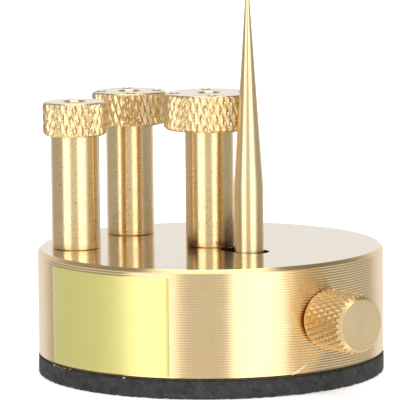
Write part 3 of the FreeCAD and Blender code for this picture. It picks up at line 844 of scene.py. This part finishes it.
# Posts: knurled head with a bore, four small holes in two of them, a socket for the pin.
# In every profile, a point close beside a corner is there to keep the corner's shading crisp
postSizes = {
    "shank": 7.0,
    "footChamfer": 0.12,
    "socket": 4.08,
    "socketDepth": 8.4,
    "bore": 3.0,
    "boreChamfer": 0.27,
    "headChamfer": 0.35,
    "toothPitch": 1.0,
    "diamondLength": 2.9,
    "knurlDepth": 0.3,
    "crest": 1.25,
    "holeRadius": 0.575,
    "rimRadius": 0.85,
    "holeDepth": 3.5,
    "firstAngle": -34.0,
}
postRows = {"shank": 12, "chamfer": 5, "knurl": 52, "bore": 6, "socket": 4}
posts = {
    "work_post": {"body": "post", "length": 22.15, "head": 13.1, "headHeight": 5.2, "holeCircle": 10.0},
    "spare_post_drilled": {"body": "drilled_post", "length": 21.2, "head": 11.0, "headHeight": 4.8,
                           "holeCircle": 8.2},
    "spare_post_plain": {"body": "plain_post", "length": 21.2, "head": 9.2, "headHeight": 4.8,
                         "holeCircle": None},
}


def footProfile(shank, socket):
    chamfer = postSizes["footChamfer"]
    return [(socket, 0), (socket + 0.15, 0), (shank - chamfer - 0.08, 0), (shank - chamfer, 0.02),
            (shank - 0.03, chamfer - 0.03), (shank, chamfer + 0.04)]


def headProfile(shank, head, bore, under, top):
    chamfer, mouth = postSizes["headChamfer"], bore + postSizes["boreChamfer"]
    points = [(shank, under), (shank + 0.05, under), (head - chamfer - 0.6, under), (head - chamfer, under)]
    points += fill((head - chamfer, under), (head, under + chamfer), postRows["chamfer"])[1:]
    points += fill((head, under + chamfer), (head, top - chamfer), postRows["knurl"])
    points += fill((head, top - chamfer), (head - chamfer, top), postRows["chamfer"])
    return points + [(head - chamfer, top), (head - chamfer - 0.35, top), (mouth + 0.12, top), (mouth, top)]


def boreProfile(bore, socket, top):
    lip, step = top - postSizes["boreChamfer"], postSizes["socketDepth"]
    shoulder = step + socket - bore
    points = [(bore, lip)] + fill((bore, lip - 0.3), (bore, shoulder), postRows["bore"])
    points += [(bore, shoulder), (socket, step)]
    return points + fill((socket, step - 0.5), (socket, 0.4), postRows["socket"]) + [(socket, 0)]


def drillPost(post, name, numbers):
    runTree(post, drilledHoles, {
        "Count": 4,
        "Circle Radius": numbers["holeCircle"] / 2 * mm,
        "First Angle": math.radians(postSizes["firstAngle"]),
        "Face Height": numbers["length"] * mm,
        "Hole Radius": postSizes["holeRadius"] * mm,
        "Rim Radius": postSizes["rimRadius"] * mm,
        "Depth": postSizes["holeDepth"] * mm,
        "Finish": finishes[name],
    })


def makePost(name, numbers):
    low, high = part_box(name)
    shank, bore, socket = (postSizes[label] / 2 for label in ("shank", "bore", "socket"))
    head, top, under = numbers["head"] / 2, numbers["length"], numbers["length"] - numbers["headHeight"]
    profile = footProfile(shank, socket) + fill((shank, 1.0), (shank, under), postRows["shank"])
    profile += headProfile(shank, head, bore, under, top) + boreProfile(bore, socket, top)
    post = turnKnurled(name + "_brass", profile, finishes[name], numbers["head"], postSizes)
    if numbers["holeCircle"]:
        drillPost(post, name, numbers)
    centre = (low + high) / 2
    post.data.transform(Matrix.Translation((centre.x, centre.y, low.z)))
    finishMesh(post)
    put(post, numbers["body"], "post_brass", name)


for name, numbers in posts.items():
    makePost(name, numbers)
print("posts turned")


# Thumb knob on the side screw
knobSizes = {
    "diameter": 8.5,
    "length": 7.85,
    "frontChamfer": 0.72,
    "backShoulder": 0.45,
    "backStep": 0.32,
    "socket": 3.04,
    "socketDepth": 5.2,
    "toothPitch": 0.92,
    "diamondLength": 2.1,
    "knurlDepth": 0.42,
    "crest": 1.25,
}
knobRows = {"socket": 4, "shoulder": 6, "knurl": 72, "chamfer": 8}


def knobProfile(sizes):
    # from the bottom of the screw's socket, out at the back, along the knurl and in over the front
    radius, socket, length = sizes["diameter"] / 2, sizes["socket"] / 2, sizes["length"]
    front, back = sizes["frontChamfer"], sizes["backShoulder"]
    step, depth = sizes["backStep"], sizes["socketDepth"]
    points = [(0, depth), (socket * 0.5, depth), (socket, depth)]
    points += fill((socket, depth - 0.3), (socket, 0.3), knobRows["socket"])
    points += [(socket, 0), (socket + 0.2, 0), (radius - back - 0.1, 0)]
    points += [(radius - back, 0.05), (radius - back, 0.3)]
    points += fill((radius - back, step), (radius, step + back), knobRows["shoulder"])
    points += fill((radius, step + back), (radius, length - front), knobRows["knurl"])
    points += fill((radius, length - front), (radius - front, length), knobRows["chamfer"])
    points += [(radius - front, length), (radius - front - 0.2, length)]
    return points + [(radius * 0.4, length), (0.3, length), (0, length)]


def makeKnob():
    sizes = knobSizes
    low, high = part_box("thumb_knob")
    profile, finish = knobProfile(sizes), finishes["thumb_knob"]
    knob = turnKnurled("thumb_knob_brass", profile, finish, sizes["diameter"], sizes)
    place = Matrix.Translation((low.x, 0, (low.z + high.z) / 2))
    knob.data.transform(place @ Matrix.Rotation(math.pi / 2, 4, "Y"))
    finishMesh(knob)
    put(knob, "knob", "knob_brass", "thumb_knob")


makeKnob()
print("knob turned")


# Spike: straight foot in its block, long taper, small flat tip
spikeSizes = {
    "diameter": 4.2,
    "taper": 29.0,
    "tip": 0.36,
    "tipChamfer": 0.1,
    "footChamfer": 0.3,
    "around": 96,
    "straightRows": 10,
    "taperRows": 40,
}


def makeSpike():
    sizes = spikeSizes
    low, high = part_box("spike")
    radius, tip = sizes["diameter"] / 2, sizes["tip"] / 2
    foot, point = sizes["footChamfer"], sizes["tipChamfer"]
    top = (high.z - low.z) / mm
    shoulder = top - sizes["taper"]
    profile = [(0, 0), (radius * 0.5, 0), (radius - foot, 0), (radius, foot)]
    profile += fill((radius, 1.0), (radius, shoulder - 0.5), sizes["straightRows"])
    profile += [(radius, shoulder - 0.5)]
    profile += fill((radius - 0.01, shoulder + 0.3), (tip, top - point), sizes["taperRows"])
    profile += [(tip, top - point), (tip - 0.04, top - 0.03), (tip - 0.1, top), (0, top)]
    spike = turn("spike_brass_turned", profile, finishes["spike"], sizes["around"])
    spike.data.transform(Matrix.Translation(((low.x + high.x) / 2, 0, low.z)))
    finishMesh(spike)
    put(spike, "carriage", "spike_brass", "spike")


makeSpike()
print("spike turned")


# Rubber pad and the glue over it: sheets cut by hand, so their edges waver
sheets = {
    "rubber_pad": {"waver": 0.14, "size": 0.8, "lift": 0.14, "edge": 0.12, "rows": 12, "slot": "pad_rubber"},
    "pad_adhesive": {"waver": 0.22, "size": 0.9, "lift": 0, "edge": 0.04, "rows": 2, "slot": "adhesive"},
}
sheetAround = 420


def makeSheet(name, numbers):
    low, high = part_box(name)
    radius, bottom, top = high.x / mm, low.z / mm, high.z / mm
    inner, wide, edge = radius * 0.5, radius * 0.9, numbers["edge"]
    profile = [(0, bottom), (inner, bottom), (wide, bottom), (radius - edge, bottom)]
    profile += fill((radius, bottom + edge), (radius, top - edge), numbers["rows"])
    profile += [(radius, top - edge), (radius - edge, top), (wide, top), (inner, top), (0, top)]
    sheet = turn(name + "_cut", profile, finishes[name], sheetAround, Waver=numbers["waver"] * mm,
                 Waver_Size=numbers["size"] * mm, Waver_From=radius * 0.95 * mm, Lift=numbers["lift"] * mm)
    finishMesh(sheet, 50)
    put(sheet, "base", numbers["slot"], name)


for name, numbers in sheets.items():
    makeSheet(name, numbers)
print("pad and glue cut")


# Bare foil label, glued round the side
labelSizes = {
    "columns": 96,
    "rows": 40,
    "corner": 0.3 * mm,
    "sunk": 0.005 * mm,
    "edge": 0.05 * mm,
    "crease": 0.955,
    "creaseWidth": 0.012,
    "creaseDepth": 0.03 * mm,
}


def roundCorner(along, up, width, height):
    # pulls a point near a corner in to a quarter circle
    radius = labelSizes["corner"]
    side, end = radius - min(along, width - along), radius - min(up, height - up)
    if side <= 0 or end <= 0:
        return along, up
    push = 1 - max(side, end) / math.hypot(side, end)
    along += side * push * (1 if along < width / 2 else -1)
    up += end * push * (1 if up < height / 2 else -1)
    return along, up


def labelDip(row, column):
    # how far the face dips: at one crease and all round the edge
    sizes = labelSizes
    away = abs(column / sizes["columns"] - sizes["crease"]) / sizes["creaseWidth"]
    dip = sizes["sunk"] + max(0, 1 - away) * sizes["creaseDepth"]
    if column in (0, sizes["columns"]) or row in (0, sizes["rows"]):
        dip += sizes["edge"]
    return dip


def labelPoints(bottom, height, first, last, inner, outer):
    columns, rows, width = labelSizes["columns"], labelSizes["rows"], (last - first) * outer
    points = []
    for face in (True, False):
        for row in range(rows + 1):
            for column in range(columns + 1):
                along, up = roundCorner(width * column / columns, height * row / rows, width, height)
                radius = outer - labelDip(row, column) if face else inner
                angle = first + along / outer
                points.append((radius * math.cos(angle), radius * math.sin(angle), bottom + up))
    return points


def labelFaces():
    # the face, the back and a strip round the rim between them
    columns, rows = labelSizes["columns"], labelSizes["rows"]
    stride, sheet = columns + 1, (columns + 1) * (rows + 1)
    faces = []
    for row in range(rows):
        for column in range(columns):
            corner = row * stride + column
            face = (corner, corner + 1, corner + stride + 1, corner + stride)
            back = (face[0], face[3], face[2], face[1])
            faces += [face, tuple(sheet + place for place in back)]
    rim = list(range(columns)) + [row * stride + columns for row in range(rows)]
    rim += [rows * stride + column for column in range(columns, 0, -1)]
    rim += [row * stride for row in range(rows, 0, -1)]
    for place, following in zip(rim, rim[1:] + rim[:1]):
        faces.append((place, sheet + place, sheet + following, following))
    return faces


def makeLabel():
    low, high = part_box("name_plate")
    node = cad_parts["name_plate"]
    corners = [node.matrix_world @ vertex.co for vertex in node.data.vertices]
    angles = [math.atan2(corner.y, corner.x) for corner in corners]
    radii = [math.hypot(corner.x, corner.y) for corner in corners]
    points = labelPoints(low.z, high.z - low.z, min(angles), max(angles), min(radii), max(radii))
    mesh = bpy.data.meshes.new("name_plate_foil")
    mesh.from_pydata(points, [], labelFaces())
    mesh.materials.append(finishes["name_plate"])
    label = newObject("name_plate_foil", mesh)
    finishMesh(label, 40)
    put(label, "base", "label_foil", "name_plate")


makeLabel()
print("label made")


# Small traces of making and use: brass chips on the glue, a flake and pale dust on the rubber
def draw(tree, seed, shift, low, high, kind="FLOAT"):
    # a random value for each bit; shift keeps the draws apart
    inputs = {"Seed": maths(tree, "ADD", seed, float(shift))}
    node = add(tree, "FunctionNodeRandomValue", inputs, data_type=kind)
    first, second, output = {"FLOAT": (2, 3, 1), "FLOAT_VECTOR": (0, 1, 0)}[kind]
    feed(tree, node.inputs[first], low)
    feed(tree, node.inputs[second], high)
    return node.outputs[output]


def makeScatterTree():
    tree, start, end = newGroup("scatteredBits", "GeometryNodeTree", {
        "Blank": ("Geometry",),
        "Count": ("Int", 10),
        "Radius": ("Float", 0.025),
        "First Angle": ("Float", 0.0),
        "Last Angle": ("Float", 6.28),
        "Low": ("Float", 0.0),
        "High": ("Float", 0.003),
        "Smallest": ("Float", 0.00003),
        "Largest": ("Float", 0.00008),
        "Seed": ("Int", 1),
        "Finish": ("Material",),
    }, {"Piece": ("Geometry",)})
    line = geometry(tree, "MeshLine", {"Count": start["Count"]})
    angle = draw(tree, start["Seed"], 0, start["First Angle"], start["Last Angle"])
    height = draw(tree, start["Seed"], 1, start["Low"], start["High"])
    size = draw(tree, start["Seed"], 2, start["Smallest"], start["Largest"])
    place = polar(tree, start["Radius"], angle, height)
    spread = geometry(tree, "SetPosition", {"Geometry": line, "Position": place})
    bit = geometry(tree, "MeshIcoSphere", {"Radius": 1.0, "Subdivisions": 1})
    # flattened against the side it sits on
    least, most = (0.5, 0.9, 0.5), (0.8, 1.7, 1.1)
    stretch = draw(tree, start["Seed"], 3, least, most, "FLOAT_VECTOR")
    inputs = {"Points": spread, "Instance": bit, "Rotation": combine(tree, z=angle),
              "Scale": scaled(tree, stretch, size)}
    bits = geometry(tree, "InstanceOnPoints", inputs)
    tree.links.new(paint(tree, bits, start["Finish"]), end.inputs["Piece"])
    return tree


def makeFleck(name, pale, dull):
    material, tree, shader = newMaterial(name, Roughness=0.7)
    drift = noise(tree, centred(tree), scale=9000.0, detail=2.0)
    tree.links.new(blendColours(tree, drift, pale, dull), shader.inputs["Base Color"])
    return material


scatteredBits = makeScatterTree()
traces = {
    "glue_chips": {
        "count": 22, "seed": 4, "radius": 24.99, "angles": (-104.5, -91.5), "heights": (2.5, 2.78),
        "sizes": (0.04, 0.11), "slot": "inner_brass",
        "finish": makeFleck("chipBrass", (0.70, 0.50, 0.38), (0.30, 0.17, 0.10)),
    },
    "pad_dust": {
        "count": 110, "seed": 8, "radius": 25.03, "angles": (-180, 180), "heights": (0.15, 2.5),
        "sizes": (0.03, 0.07), "slot": "pad_rubber",
        "finish": makeFleck("paleDust", (0.34, 0.34, 0.32), (0.14, 0.14, 0.14)),
    },
    "pad_flake": {
        "count": 5, "seed": 3, "radius": 24.88, "angles": (-70.2, -68.2), "heights": (2.5, 2.66),
        "sizes": (0.07, 0.15), "slot": "adhesive",
        "finish": makeFleck("paleFlake", (0.85, 0.86, 0.88), (0.70, 0.71, 0.74)),
    },
}


def makeTrace(name, numbers):
    thing = newObject(name, bpy.data.meshes.new(name))
    first, last = (math.radians(angle) for angle in numbers["angles"])
    low, high = (height * mm for height in numbers["heights"])
    small, large = (size * mm for size in numbers["sizes"])
    runTree(thing, scatteredBits, {
        "Count": numbers["count"], "Seed": numbers["seed"], "Radius": numbers["radius"] * mm,
        "First Angle": first, "Last Angle": last, "Low": low, "High": high,
        "Smallest": small, "Largest": large, "Finish": numbers["finish"],
    })
    put(thing, "base", numbers["slot"])


for name, numbers in traces.items():
    makeTrace(name, numbers)


# A curled sliver left by the tool at the base's lower edge, from a thin root to a pointed tip; its pale flat
# colour is a painted glint
burrSizes = {
    "radius": 24.98,
    "angles": (-12.6, -6.8),
    "heights": (2.98, 4.3),
    "width": 0.36,
    "height": 0.18,
    "bow": 0.12,
    "steps": 14,
    "root": 0.12,
    "fullness": 0.6,
    "tip": 0.05,
}


def burrRing(share):
    # three corners of the sliver's section at this share of its length
    sizes = burrSizes
    degrees, height = (first + (last - first) * share for first, last in (sizes["angles"], sizes["heights"]))
    angle = math.radians(degrees)
    height -= sizes["bow"] * math.sin(math.pi * share)
    swell = math.sin(math.pi * min(1, sizes["root"] + (1 - sizes["root"]) * share)) ** sizes["fullness"]
    thick = swell if share < 1 else sizes["tip"]
    ring = []
    for across, out in ((-0.5, 0.0), (0.0, sizes["height"]), (0.5, 0.0)):
        radius = (sizes["radius"] + out * thick) * mm
        z = (height + across * sizes["width"] * thick) * mm
        ring.append((radius * math.cos(angle), radius * math.sin(angle), z))
    return ring


def makeBurr():
    steps = burrSizes["steps"]
    points = [point for step in range(steps + 1) for point in burrRing(step / steps)]
    faces = []
    for step in range(steps):
        for side in range(3):
            corner, following = step * 3 + side, step * 3 + (side + 1) % 3
            faces.append((corner, corner + 3, following + 3, following))
    last = steps * 3
    faces += [(0, 1, 2), (last + 2, last + 1, last)]
    mesh = bpy.data.meshes.new("edge_burr")
    mesh.from_pydata(points, [], faces)
    mesh.materials.append(makeFleck("paintedGlintBrass", (0.95, 0.88, 0.66), (0.85, 0.72, 0.48)))
    burr = newObject("edge_burr", mesh)
    put(burr, "base", "base_brass")


makeBurr()
print("traces added")
